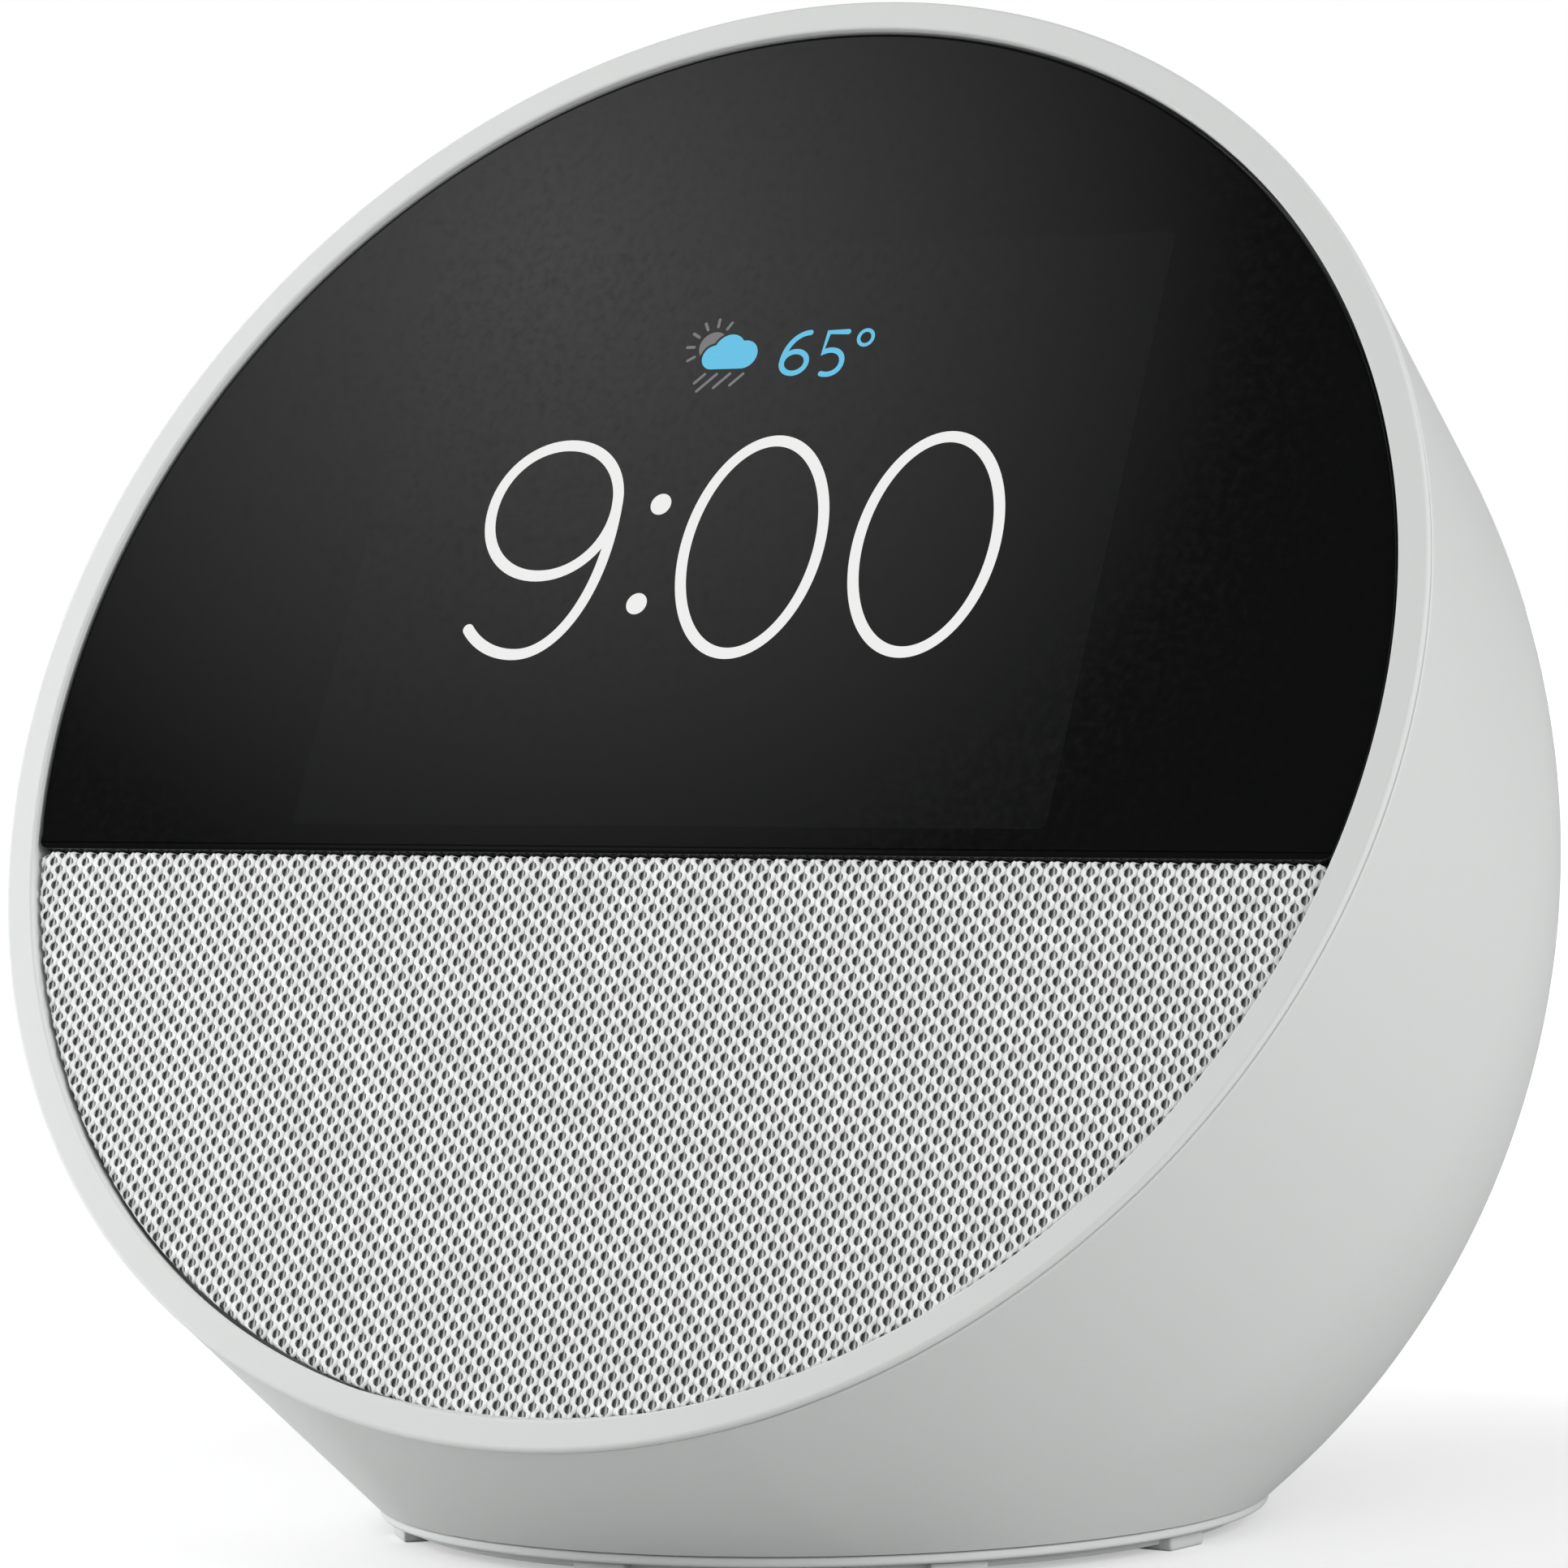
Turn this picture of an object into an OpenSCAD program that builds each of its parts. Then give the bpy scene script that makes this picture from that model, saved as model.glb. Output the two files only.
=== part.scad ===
// Round smart display: a tilted round face on a dome body with a flat base.
// Millimetres, +Z up, the face looks towards -Y, the base rests on Z = 0.

/* [Face] */
// Tilt of the face back from upright, degrees
face_tilt = 27.3; // [24:0.1:30]
// Outer radius of the face
ring_r = 56.5; // [55.5:0.1:57.5]
// Radius of the opening inside the bezel ring
window_r = 54.2; // [53.6:0.1:54.4]
// Height of the middle of the face
face_z = 60.5; // [59:0.1:62]
// Height in the face of the line between glass and grille
split_v = -12.1; // [-14:0.1:-11.5]
// Width of the display panel
screen_w = 61.6; // [56:0.2:64]
// Height of the display panel
screen_h = 46.2; // [42:0.2:47]
// Height in the face of the top of the display panel
screen_top = 36.3; // [34:0.1:37]
// How far the glass and the grille sit below the ring
face_recess = 0.45; // [0.3:0.05:0.6]

/* [Body] */
// Radius of the base
base_r = 32.6; // [31:0.1:34]
// Height of the top of the base band
base_top = 1.95; // [1.8:0.05:2.2]
// Distance of the base axis from the middle of the object
base_y = -8.1; // [-9:0.1:-7]
// Distance of the middle of the face in front of the base axis
face_lead = 17.6; // [16:0.1:19]
// Half width of the back dome
dome_x = 52.05; // [51:0.05:53]
// Half height of the back dome
dome_u = 58.35; // [57:0.05:59]
// Half depth of the back dome
dome_n = 55.75; // [54:0.05:57]
// Distance of the dome's middle behind the face
dome_back = 24.5; // [23:0.1:26]
// Drop of the dome's middle below the face's axis
dome_drop = 2.05; // [1:0.05:3]
// Lean of the dome
dome_lean = 5.7; // [4:0.1:7]
// Wall of the shell
wall = 2.2; // [1.8:0.1:2.6]

/* [Buttons] */
// Radius of a button cap
button_r = 5.2; // [4.5:0.1:5.6]
// Spacing of the buttons
button_pitch = 16; // [14:0.5:18]
// Travel of a button
button_travel = 0.5; // [0.3:0.1:0.5]
// Radial gap round a button cap
button_gap = 0.3; // [0.2:0.05:0.4]

/* [Speaker] */
// Outer radius of the speaker
speaker_r = 22; // [20:0.5:22]
// Height of the speaker's middle in the face
speaker_v = -31; // [-32:0.5:-30]
// Depth of the speaker's flange behind the face
speaker_depth = 7.2; // [7:0.1:8]

/* [Power] */
// Bore radius of the power inlet
inlet_r = 2.75; // [2.5:0.05:2.8]
// Height of the power inlet
inlet_z = 20; // [19:0.5:22]

/* [Hidden] */
$fn = 96;
face_y = base_y - face_lead;
seam = 0.6;
seam_gap = 0.15;
glass_gap = 0.25;
glass_r = window_r - glass_gap;
glass_t = 1.5;
tape_t = 0.2;
ledge_top = face_recess + glass_t + tape_t;
ledge_t = 1.1;
ledge_r = 50.5;
ring_body_r = 55.3;
panel_t = 2.2;
backlight_t = 1.1;
bracket_z = 5.7;
bracket_t = 1.2;
bracket_r = 51.4;
boss_angles = [15, 90, 165, 222, 318];
boss_r = 49.3;
post_places = [[40, 20], [-40, 20], [39, -19], [-39, -19]];
base_cone = 1.2;
cone_gap = 0.05;
foot_angles = [0, 47, 84, 131, 180, 229, 276, 313];
foot_w = 4.2;
base_screws_n = 4;
speaker_screw_angles = [20, 160, 250, 290];
base_screw_r = 24;
board_w = 62;
board_bottom = -4;
board_top = 37;
board_z = 22.4;
board_t = 1.6;
board_screw = [27.5, 33];
button_sides = [-1, 0, 1];
inlet_end = 40.2;
inlet_depth = 5.2;
inlet_pin_l = 4.8;

// Frames: the face, the leaning dome behind it, and a button on the dome.
module on_face() {
  translate([0, face_y, face_z]) rotate([90 - face_tilt, 0, 0]) children();
}

module on_dome() {
  on_face() translate([0, -dome_drop, -dome_back]) rotate([-dome_lean, 0, 0]) children();
}

function dome_height(x) = dome_u * sqrt(1 - pow(x / dome_x, 2));
function dome_slope(x) = atan2(x * pow(dome_u / dome_x, 2), dome_height(x));

module on_button(side) {
  x = side * button_pitch;
  on_dome() translate([x, dome_height(x), 0])
    rotate([0, 0, -dome_slope(x)]) rotate([-90, 0, 0]) children();
}

module at_speaker() {
  on_face() translate([0, speaker_v, -speaker_depth]) children();
}

// The outer form of the body, or the same form with all its faces moved in.
module envelope(inset = 0, floor_z = base_top, facets = 32) {
  intersection() {
    hull() {
      on_face() translate([0, 0, -seam - seam_gap - 0.01 - inset * 0.2])
        cylinder(r = ring_r - inset, h = 0.01, $fn = 128);
      translate([0, base_y, base_top]) cylinder(r = base_r - inset, h = 0.01, $fn = 96);
      on_dome() scale([dome_x - inset, dome_u - inset, dome_n - inset]) sphere(r = 1, $fn = facets);
    }
    translate([0, base_y, floor_z]) cylinder(
      r1 = base_r - inset + cone_gap + base_cone * (floor_z - base_top),
      r2 = base_r - inset + cone_gap + base_cone * 120, h = 120);
  }
}

// The part of a disc above or below the split line, kept back by a margin.
module segment(r, side, margin) {
  intersection() {
    circle(r = r, $fn = 180);
    translate([-2 * r, side > 0 ? split_v + margin : split_v - margin - 3 * r])
      square([4 * r, 3 * r]);
  }
}

module screw(d, head_d, head_h, length) {
  translate([0, 0, -length]) cylinder(d = d, h = length, $fn = 24);
  difference() {
    cylinder(d = head_d, h = head_h, $fn = 32);
    translate([0, 0, head_h * 0.45]) cylinder(d = head_d * 0.45, h = head_h, $fn = 6);
  }
}

module rear_shell() color("gainsboro") {
  difference() {
    union() {
      difference() {
        envelope(facets = 48);
        envelope(inset = wall, floor_z = 0, facets = 48);
      }
      intersection() {
        envelope(inset = 0.8);
        union() {
          on_face() for (p = post_places)
            translate([p[0], p[1], -60]) cylinder(d = 5.2, h = 60 - bracket_z - bracket_t - 0.1, $fn = 32);
          for (i = [0:base_screws_n - 1])
            translate([0, base_y, base_top + 0.1]) rotate([0, 0, 45 + i * 360 / base_screws_n])
              translate([base_screw_r, 0, 0]) cylinder(d = 6, h = 3.8, $fn = 32);
          translate([0, base_y, base_top]) difference() {
            cylinder(r = base_r - 1, h = 2);
            translate([0, 0, -1]) cylinder(r = base_screw_r + 1, h = 4);
          }
        }
      }
    }
    on_face() {
      translate([0, 0, -seam - seam_gap]) cylinder(r = 2 * ring_r, h = 2 * ring_r);
      translate([0, 0, -ledge_top - ledge_t - 0.3])
        cylinder(r = ring_body_r + 0.12, h = 20, $fn = 180);
    }
    for (s = button_sides)
      on_button(s) translate([0, 0, -8]) cylinder(r = button_r + button_gap, h = 20, $fn = 64);
    for (s = [-0.5, 0.5])
      on_button(s) translate([0, 0, -8]) cylinder(d = 1.2, h = 20, $fn = 24);
    on_face() for (p = post_places)
      translate([p[0], p[1], -22]) cylinder(d = 1.7, h = 22, $fn = 24);
    for (i = [0:base_screws_n - 1])
      translate([0, base_y, 0]) rotate([0, 0, 45 + i * 360 / base_screws_n])
        translate([base_screw_r, 0, 0]) cylinder(d = 2.1, h = 7, $fn = 24);
    translate([0, inlet_end - 12, inlet_z]) rotate([-90, 0, 0])
      cylinder(r = inlet_r + 2.2, h = 40, $fn = 64);
  }
}

module bezel_ring() color("whitesmoke") on_face() {
  edge = 0.3;
  difference() {
    union() {
      rotate_extrude($fn = 180) polygon([
        [window_r, -ledge_top], [window_r, -edge / 2], [window_r + edge / 2, 0],
        [ring_r - edge, 0], [ring_r - edge * 0.3, -edge * 0.3], [ring_r, -edge],
        [ring_r, -seam], [ring_body_r, -seam],
        [ring_body_r, -ledge_top - ledge_t], [ledge_r, -ledge_top - ledge_t],
        [ledge_r, -ledge_top]]);
      for (a = boss_angles)
        rotate([0, 0, a]) translate([boss_r, 0, -bracket_z + 0.1])
          cylinder(d = 5, h = bracket_z - ledge_top - 0.1, $fn = 32);
    }
    for (a = boss_angles)
      rotate([0, 0, a]) translate([boss_r, 0, -bracket_z - 1]) cylinder(d = 1.6, h = 3.9, $fn = 24);
  }
}

module cover_glass() color("#101112") on_face()
  translate([0, 0, -face_recess - glass_t]) linear_extrude(height = glass_t)
    segment(glass_r, 1, 0.1);

module glass_tape() color("black") on_face()
  translate([0, 0, -ledge_top]) linear_extrude(height = tape_t) difference() {
    segment(window_r - 0.3, 1, 0.6);
    segment(ledge_r + 0.3, 1, 2.4);
  }

module display_panel() color("#1b1c1e") on_face()
  translate([-screen_w / 2, screen_top - screen_h, -ledge_top - panel_t])
    cube([screen_w, screen_h, panel_t]);

module backlight() color("silver") on_face() {
  translate([-screen_w / 2 - 0.4, screen_top - screen_h - 0.4, -ledge_top - panel_t - backlight_t])
    cube([screen_w + 0.8, screen_h + 0.8, backlight_t]);
}

module display_bracket() color("dimgray") on_face() {
  difference() {
    union() {
      translate([0, 0, -bracket_z - bracket_t]) cylinder(r = bracket_r, h = bracket_t, $fn = 180);
      for (x = [-board_screw[0], board_screw[0]], y = [board_bottom + 4, board_screw[1]])
        translate([x, y, -board_z + 0.1]) cylinder(d = 4.6, h = board_z - bracket_z - 0.2, $fn = 32);
    }
    translate([0, speaker_v, -20]) cylinder(r = speaker_r - 1.2, h = 20, $fn = 96);
    for (a = boss_angles)
      rotate([0, 0, a]) translate([boss_r, 0, -10]) cylinder(d = 2.2, h = 10, $fn = 24);
    for (p = post_places) translate([p[0], p[1], -10]) cylinder(d = 2.2, h = 10, $fn = 24);
    for (x = [-board_screw[0], board_screw[0]], y = [board_bottom + 4, board_screw[1]])
      translate([x, y, -board_z - 1]) cylinder(d = 1.6, h = 8, $fn = 24);
    translate([-9, 22, -10]) cube([18, 4, 10]);
  }
}

module bracket_screws() color("silver") on_face() for (a = boss_angles)
  rotate([0, 0, a]) translate([boss_r, 0, -bracket_z - bracket_t])
    mirror([0, 0, 1]) screw(1.5, 3.6, 1.2, 3.4);

module shell_screws() color("silver") on_face() for (p = post_places)
  translate([p[0], p[1], -bracket_z]) screw(1.6, 3.8, 1.2, 7);

module grille_fabric() color("#e4e5e4") on_face()
  translate([0, 0, -face_recess - 0.6]) linear_extrude(height = 0.6)
    segment(glass_r, -1, 0.15);

module grille_frame() color("#8d8f90") on_face() {
  pitch = 3.4;
  hole_d = 2.5;
  translate([0, 0, -ledge_top + 0.05]) difference() {
    linear_extrude(height = ledge_top - face_recess - 0.65) segment(glass_r - 0.1, -1, 0.3);
    for (i = [-5:5], j = [-6:6]) {
      x = i * pitch + (j % 2 == 0 ? 0 : pitch / 2);
      y = speaker_v + j * pitch * 0.866;
      if (norm([x, y - speaker_v]) < speaker_r - 3.4)
        translate([x, y, -1]) cylinder(d = hole_d, h = 4, $fn = 6);
    }
  }
}

module speaker_gasket() color("#2a2a2a") on_face()
  translate([0, speaker_v, -speaker_depth + 0.2]) difference() {
    cylinder(r = speaker_r - 2.6, h = speaker_depth - ledge_top - 0.2);
    translate([0, 0, -1]) cylinder(r = speaker_r - 3.6, h = speaker_depth);
  }

module speaker_basket() color("#3a3b3c") at_speaker() difference() {
  rotate_extrude() polygon([
    [16.9, -1.2], [19.6, -1.2], [19.6, 0], [speaker_r, 0], [speaker_r, -1.4],
    [19.8, -2.6], [14.8, -12.2], [7.6, -12.2], [7.6, -11.2], [14, -11.2], [18.4, -2.6], [16.9, -2.2]]);
  for (i = [0:5]) rotate([0, 0, 30 + i * 60]) translate([12, -3.2, -10.6]) cube([8, 6.4, 6]);
  for (a = speaker_screw_angles)
    rotate([0, 0, a]) translate([speaker_r - 1.1, 0, -5]) cylinder(d = 1.5, h = 6, $fn = 24);
}

module speaker_surround() color("#1c1c1c") at_speaker() rotate_extrude() difference() {
  translate([18.05, -1.15]) circle(r = 1.25, $fn = 48);
  translate([18.05, -1.15]) circle(r = 0.85, $fn = 48);
  translate([15, -3.2]) square([6, 2.05]);
}

module speaker_cone() color("#26282a") at_speaker() rotate_extrude() polygon([
  [6.3, -6.2], [16.2, -1.5], [16.45, -1.5], [16.45, -1.1], [16.1, -1.1], [6.3, -5.75]]);

module dust_cap() color("#303234") at_speaker() rotate_extrude() intersection() {
  difference() {
    translate([0, -12.8]) circle(r = 9.4, $fn = 96);
    translate([0, -12.8]) circle(r = 9.0, $fn = 96);
  }
  translate([0, -5.8]) square([6.25, 6]);
}

module voice_coil() color("#b0703c") at_speaker() translate([0, 0, -13.6]) difference() {
  cylinder(r = 6.25, h = 7.75);
  translate([0, 0, -1]) cylinder(r = 5.95, h = 10);
}

module speaker_magnet() color("#55585c") at_speaker() rotate_extrude() polygon([
  [0, -22], [13.2, -22], [13.2, -12.35], [6.7, -12.35], [6.7, -20], [5.5, -20], [5.5, -11.6], [0, -11.6]]);

module enclosure_form(inset) {
  intersection() {
    envelope(inset = 3.4 + inset, floor_z = 6 + inset);
    on_face() translate([0, speaker_v, -speaker_depth - 30 + inset])
      cylinder(r = speaker_r + 2.2 - inset, h = 28.5, $fn = 96);
  }
}

module speaker_enclosure() color("#2c2e30") difference() {
  enclosure_form(0);
  enclosure_form(1.6);
}

module speaker_screws() color("silver") at_speaker() for (a = speaker_screw_angles)
  rotate([0, 0, a]) translate([speaker_r - 1.1, 0, -2.4]) {
    cylinder(d = 1.4, h = 2.5, $fn = 24);
    translate([0, 0, 2.4]) cylinder(d = 2, h = 0.25, $fn = 24);
  }

module main_board() color("#1f6b3a") on_face() translate([0, 0, -board_z - board_t]) difference() {
  translate([-board_w / 2, board_bottom, 0]) cube([board_w, board_top - board_bottom, board_t]);
  for (x = [-board_screw[0], board_screw[0]], y = [board_bottom + 4, board_screw[1]])
    translate([x, y, -1]) cylinder(d = 2.2, h = 4, $fn = 24);
}

module board_screws() color("silver") on_face()
  for (x = [-board_screw[0], board_screw[0]], y = [board_bottom + 4, board_screw[1]])
    translate([x, y, -board_z - board_t]) mirror([0, 0, 1]) screw(1.5, 3.4, 1.1, 4);

module processor_shield() color("lightgray") on_face() translate([-15, 6, -board_z]) difference() {
  cube([30, 22, 2.4]);
  translate([0.3, 0.3, -0.3]) cube([29.4, 21.4, 2.4]);
}

module heat_spreader() color("silver") on_face() translate([-20, 2, -board_z + 2.5]) {
  cube([40, 30, 1]);
  for (i = [0:6]) translate([2 + i * 5.7, 1, 1]) cube([1, 28, 3]);
}

module memory_chips() color("#151515") on_face() {
  translate([-11, 10, -board_z + 0.05]) cube([11, 11, 1.2]);
  translate([3, 10, -board_z + 0.05]) cube([9, 12, 1.1]);
}

module board_connectors() color("ivory") on_face() translate([0, 0, -board_z - board_t]) {
  translate([-8, 26, -1.6]) cube([16, 4, 1.6]);
  translate([-24, 0, -3]) cube([7, 5, 3]);
  translate([16, 0, -4]) cube([8, 6, 4]);
}

// A flat cable that runs from the display through the bracket to the board.
module display_cable() color("#c98a2b") on_face() {
  translate([-7, 23, -bracket_z - 8]) cube([14, 0.3, 8.2]);
  translate([-7, 23, -bracket_z - 8]) cube([14, 13.8, 0.3]);
  translate([-7, 36.8, -bracket_z - 8]) mirror([0, 0, 1]) translate([0, 0.4, -0.3]) cube([14, 0.3, 13]);
}

module wifi_antennas() color("#6b4f1d") on_dome() for (s = [-1, 1])
  translate([s * 24 - 6, -8, -40]) cube([12, 18, 0.6]);

module button(side) {
  intersection() {
    envelope(inset = -0.35);
    on_button(side) translate([0, 0, -3.2]) cylinder(r = button_r, h = 8, $fn = 64);
  }
  on_button(side) {
    translate([0, 0, -4.1]) cylinder(r = button_r + 1, h = 1, $fn = 64);
    translate([0, 0, -7.1]) cylinder(r = 2, h = 3.2, $fn = 32);
  }
}

module button_volume_down() color("gainsboro") button(-1);
module button_microphone() color("gainsboro") button(0);
module button_volume_up() color("gainsboro") button(1);

module arch(inset, thickness, half_w, half_l) {
  intersection() {
    difference() {
      envelope(inset = inset);
      envelope(inset = inset + thickness);
    }
    on_dome() translate([-half_w, 20, -half_l]) cube([2 * half_w, 60, 2 * half_l]);
  }
}

module button_carrier() color("#4a4c4e") difference() {
  arch(5.2, 1.2, 26, 8);
  for (s = button_sides)
    on_button(s) translate([0, 0, -12]) cylinder(r = 2.4, h = 12, $fn = 48);
  for (s = [-0.5, 0.5])
    on_button(s) translate([0, 0, -12]) cylinder(d = 1.6, h = 12, $fn = 24);
}

module button_flex() color("#c98a2b") arch(9.2, 0.4, 24, 6);

module button_switches() color("silver") for (s = button_sides)
  on_button(s) translate([-1.9, -1.9, -8.95]) cube([3.8, 3.8, 0.95]);

module microphones() color("goldenrod") for (s = [-0.5, 0.5])
  on_button(s) translate([-1.6, -1.3, -8.95]) cube([3.2, 2.6, 1]);

module power_inlet() color("#1a1a1a") translate([0, inlet_end, inlet_z]) rotate([90, 0, 0])
  difference() {
    union() {
      cylinder(r = inlet_r + 2, h = 12, $fn = 64);
      translate([-5, -5.5, 9.3]) cube([10, 11, 7]);
    }
    translate([0, 0, -1]) cylinder(r = inlet_r, h = inlet_depth + 1, $fn = 64);
    translate([0, 0, inlet_depth - 1]) cylinder(r = inlet_r - 0.2, h = inlet_pin_l + 1, $fn = 64);
  }

module inlet_pin() color("silver")
  translate([0, inlet_end - inlet_depth - 0.2, inlet_z]) rotate([90, 0, 0])
    cylinder(r = 0.85, h = inlet_pin_l - 0.2, $fn = 32);

module inlet_bracket() color("#3a3b3c") translate([-8, inlet_end - 16.3, inlet_z]) difference() {
  translate([0, 0, -9]) cube([16, 6.9, 18]);
  translate([2.7, -1, -5.8]) cube([10.6, 9, 11.6]);
}

module base_plate() color("#dfe1df") translate([0, base_y, 0]) difference() {
  rotate_extrude() polygon([
    [0, 1.0], [31.4, 1.0], [32.1, 1.25], [32.35, 1.6], [32.2, base_top - 0.08],
    [0, base_top - 0.08]]);
  for (i = [0:base_screws_n - 1]) rotate([0, 0, 45 + i * 360 / base_screws_n])
    translate([base_screw_r, 0, -1]) cylinder(d = 2.4, h = 5, $fn = 24);
}

module base_screws() color("silver") translate([0, base_y, 0]) for (i = [0:base_screws_n - 1])
  rotate([0, 0, 45 + i * 360 / base_screws_n]) translate([base_screw_r, 0, 0.95])
    mirror([0, 0, 1]) screw(2, 4, 0.6, 4.5);

module foot_ring() color("#c9cbca") translate([0, base_y, 0]) {
  difference() {
    translate([0, 0, 0.45]) cylinder(r = 30.6, h = 0.5);
    translate([0, 0, -1]) cylinder(r = 27.4, h = 4);
  }
  for (a = foot_angles) rotate([0, 0, a - 90])
    translate([28, -foot_w / 2, 0]) cube([3.9, foot_w, 0.9]);
}

module ballast_weight() color("#7a7d80") translate([0, base_y, base_top + 0.1]) difference() {
  cylinder(r = 19, h = 3.2);
  translate([0, 0, -1]) cylinder(r = 5, h = 6);
}

rear_shell();
bezel_ring();
cover_glass();
glass_tape();
display_panel();
backlight();
display_bracket();
bracket_screws();
shell_screws();
grille_fabric();
grille_frame();
speaker_gasket();
speaker_basket();
speaker_surround();
speaker_cone();
dust_cap();
voice_coil();
speaker_magnet();
speaker_enclosure();
speaker_screws();
main_board();
board_screws();
processor_shield();
heat_spreader();
memory_chips();
board_connectors();
display_cable();
wifi_antennas();
button_volume_down();
button_microphone();
button_volume_up();
button_carrier();
button_flex();
button_switches();
microphones();
power_inlet();
inlet_pin();
inlet_bracket();
base_plate();
base_screws();
foot_ring();
ballast_weight();
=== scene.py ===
import math
import bmesh
import bpy
import numpy as np
from mathutils import Matrix, Vector
from mathutils.bvhtree import BVHTree


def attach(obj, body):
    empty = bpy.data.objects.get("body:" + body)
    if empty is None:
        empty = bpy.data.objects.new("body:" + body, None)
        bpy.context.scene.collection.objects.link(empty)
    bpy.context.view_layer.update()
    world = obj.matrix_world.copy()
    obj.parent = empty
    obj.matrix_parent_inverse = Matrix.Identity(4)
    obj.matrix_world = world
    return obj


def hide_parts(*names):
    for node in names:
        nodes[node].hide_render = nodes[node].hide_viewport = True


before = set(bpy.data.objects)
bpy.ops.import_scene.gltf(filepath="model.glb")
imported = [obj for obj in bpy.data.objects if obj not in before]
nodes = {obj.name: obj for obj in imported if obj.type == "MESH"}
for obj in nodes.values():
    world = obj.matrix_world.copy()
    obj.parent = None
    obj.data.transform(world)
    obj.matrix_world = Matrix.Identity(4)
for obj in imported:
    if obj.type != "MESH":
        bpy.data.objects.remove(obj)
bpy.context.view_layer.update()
mm = 0.001
print("frame loaded:", len(nodes), "nodes")

# The driving sizes of the device, in millimetres and degrees
device = {
    "faceTilt": 27.3,          # lean of the face from upright
    "faceY": -25.7,
    "faceZ": 60.5,             # middle of the face
    "ringRadius": 56.5,
    "windowRadius": 54.2,
    "splitHeight": -12.1,      # line between the glass and the grille
    "recess": 0.45,            # glass and grille sit this far below the ring
    "baseRadius": 32.6,
    "baseTop": 1.95,
    "baseY": -8.1,
    "baseCone": 1.2,           # widening of the body per millimetre above the base
    "domeX": 52.05,
    "domeUp": 58.35,
    "domeDeep": 55.75,
    "domeBack": 24.5,
    "domeDrop": 2.05,
    "domeLean": 5.7,
}

tilt = math.radians(device["faceTilt"])
faceFrame = (Matrix.Translation(Vector((0, device["faceY"], device["faceZ"])) * mm)
             @ Matrix.Rotation(math.pi / 2 - tilt, 4, "X"))
domeFrame = (faceFrame @ Matrix.Translation(Vector((0, -device["domeDrop"], -device["domeBack"])) * mm)
             @ Matrix.Rotation(math.radians(-device["domeLean"]), 4, "X"))
baseFrame = Matrix.Translation(Vector((0, device["baseY"], 0)) * mm)


# small helpers for modelling by operators

def deselectAll():
    if bpy.context.object and bpy.context.object.mode != "OBJECT":
        bpy.ops.object.mode_set(mode="OBJECT")
    bpy.ops.object.select_all(action="DESELECT")


def takeUp(piece):  # makes one piece the only selected and active one
    deselectAll()
    piece.select_set(True)
    bpy.context.view_layer.objects.active = piece
    return piece


def newest(name):
    piece = bpy.context.active_object
    piece.name = name
    piece.data.name = name
    return piece


def editMode(pick="VERT"):
    bpy.ops.object.mode_set(mode="EDIT")
    bpy.ops.mesh.select_mode(type=pick)


def objectMode():
    bpy.ops.object.mode_set(mode="OBJECT")


def pickEdges(piece, test):
    mesh = bmesh.from_edit_mesh(piece.data)
    for e in mesh.edges:
        e.select_set(False)
    for e in mesh.edges:
        if test(e.verts[0].co, e.verts[1].co):
            e.select_set(True)
    bmesh.update_edit_mesh(piece.data)


def pickFaces(piece, test):
    mesh = bmesh.from_edit_mesh(piece.data)
    for f in mesh.faces:
        f.select_set(bool(test(f)))
    bmesh.update_edit_mesh(piece.data)


def cleanUp(merge=1e-6):
    bpy.ops.mesh.select_all(action="SELECT")
    bpy.ops.mesh.remove_doubles(threshold=merge)
    bpy.ops.mesh.normals_make_consistent(inside=False)


def place(piece, matrix):  # puts the place into the mesh, the object stays at the origin
    takeUp(piece)
    piece.matrix_world = matrix @ piece.matrix_world
    bpy.ops.object.transform_apply(location=True, rotation=True, scale=True)
    return piece


def finishWith(piece, kind, **settings):  # adds a modifier and applies it
    takeUp(piece)
    step = piece.modifiers.new(kind.title(), kind)
    for key, value in settings.items():
        setattr(step, key, value)
    bpy.ops.object.modifier_apply(modifier=step.name)
    return piece


def cutWith(piece, cutter, operation="DIFFERENCE"):
    finishWith(piece, "BOOLEAN", object=cutter, operation=operation, solver="EXACT")
    bpy.data.objects.remove(cutter)
    return piece


def smooth(piece, angle=32):
    takeUp(piece)
    bpy.ops.object.shade_smooth_by_angle(angle=math.radians(angle))
    return piece


def rounded(corners, steps=5):
    # corners are (x, y, radius); gives the closed outline with each corner as an arc
    outline = []
    count = len(corners)
    for i, (x, y, radius) in enumerate(corners):
        here = Vector((x, y))
        before = Vector(corners[i - 1][:2]) - here
        after = Vector(corners[(i + 1) % count][:2]) - here
        if radius <= 0:
            outline.append(here)
            continue
        half = before.angle(after) / 2
        reach = radius / math.tan(half)
        start = here + before.normalized() * reach
        end = here + after.normalized() * reach
        middle = here + (before.normalized() + after.normalized()).normalized() * radius / math.sin(half)
        a = math.atan2(start.y - middle.y, start.x - middle.x)
        b = math.atan2(end.y - middle.y, end.x - middle.x)
        turn = (b - a + math.pi) % (2 * math.pi) - math.pi
        for k in range(steps + 1):
            angle = a + turn * k / steps
            outline.append(middle + Vector((math.cos(angle), math.sin(angle))) * radius)
    return outline


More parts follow.
